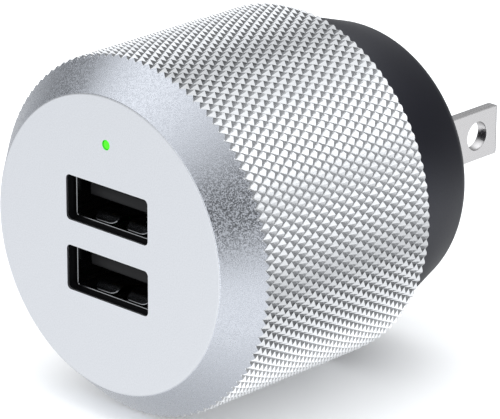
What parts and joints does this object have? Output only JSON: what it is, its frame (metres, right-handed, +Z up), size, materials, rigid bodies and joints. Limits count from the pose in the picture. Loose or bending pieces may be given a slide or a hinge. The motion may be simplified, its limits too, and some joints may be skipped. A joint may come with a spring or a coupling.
{
  "type": "usb wall charger",
  "caption": "Round wall charger with stacked USB ports, a knurled metal shell, a tapered plastic base and fixed flat mains blades.",
  "frame": {"origin": "centre of the flat rear face that rests against the wall plate", "axes": "+Y out of the rear face along the blades, -Y out of the front with the ports, +Z up past the indicator, +X completes the set"},
  "size_m": [0.0445, 0.0624, 0.0444],
  "materials": {
    "shell_aluminium": "bead-blasted satin with a sharp diamond knurl",
    "base_plastic": "fine matt moulded texture",
    "liner_plastic": "matt",
    "blade_metal": "nickel plated, brushed",
    "socket_steel": "tin plated sheet",
    "tongue_plastic": "matt",
    "contact_gold": "gold flash",
    "spring_bronze": "bright",
    "pipe_green": "clear, lit green",
    "led_body": "glossy",
    "board_green": "solder mask",
    "clamp_plastic": "satin",
    "spacer_nylon": "satin",
    "header_plastic": "satin",
    "ferrite": "ground ceramic",
    "bobbin_plastic": "satin",
    "winding_tape": "glossy film",
    "capacitor_sleeve": "shrink sleeve",
    "capacitor_can": "bright can",
    "copper_wire": "enamelled",
    "resistor_coat": "lacquer",
    "disc_coat": "epoxy dip",
    "chip_epoxy": "moulded epoxy",
    "small_parts": "ceramic"
  },
  "bodies": {
    "root": {"housing_shell": "shell_aluminium", "inner_liner": "liner_plastic", "rear_base": "base_plastic", "blade_left": "blade_metal", "blade_right": "blade_metal", "blade_clamp": "clamp_plastic", "contact_spring_left": "spring_bronze", "contact_spring_right": "spring_bronze", "light_pipe": "pipe_green", "status_led": "led_body", "usb_shell_upper": "socket_steel", "usb_shell_lower": "socket_steel", "usb_tongue_upper": "tongue_plastic", "usb_tongue_lower": "tongue_plastic", "usb_contacts_upper": "contact_gold", "usb_contacts_lower": "contact_gold", "port_board": "board_green", "power_board": "board_green", "board_spacers": "spacer_nylon", "link_header": "header_plastic", "link_pins": "contact_gold", "transformer_core": "ferrite", "transformer_bobbin": "bobbin_plastic", "transformer_winding": "winding_tape", "input_capacitor_upper": "capacitor_sleeve", "input_capacitor_lower": "capacitor_sleeve", "output_capacitor_upper": "capacitor_can", "output_capacitor_lower": "capacitor_can", "choke_core": "ferrite", "choke_winding": "copper_wire", "fuse_resistor": "resistor_coat", "safety_capacitor": "disc_coat", "optocoupler": "chip_epoxy", "bridge_rectifier": "chip_epoxy", "switching_chip": "chip_epoxy", "output_rectifier": "chip_epoxy", "charging_chip": "chip_epoxy", "chip_resistors": "small_parts", "chip_capacitors": "small_parts"}
  },
  "joints": []
}
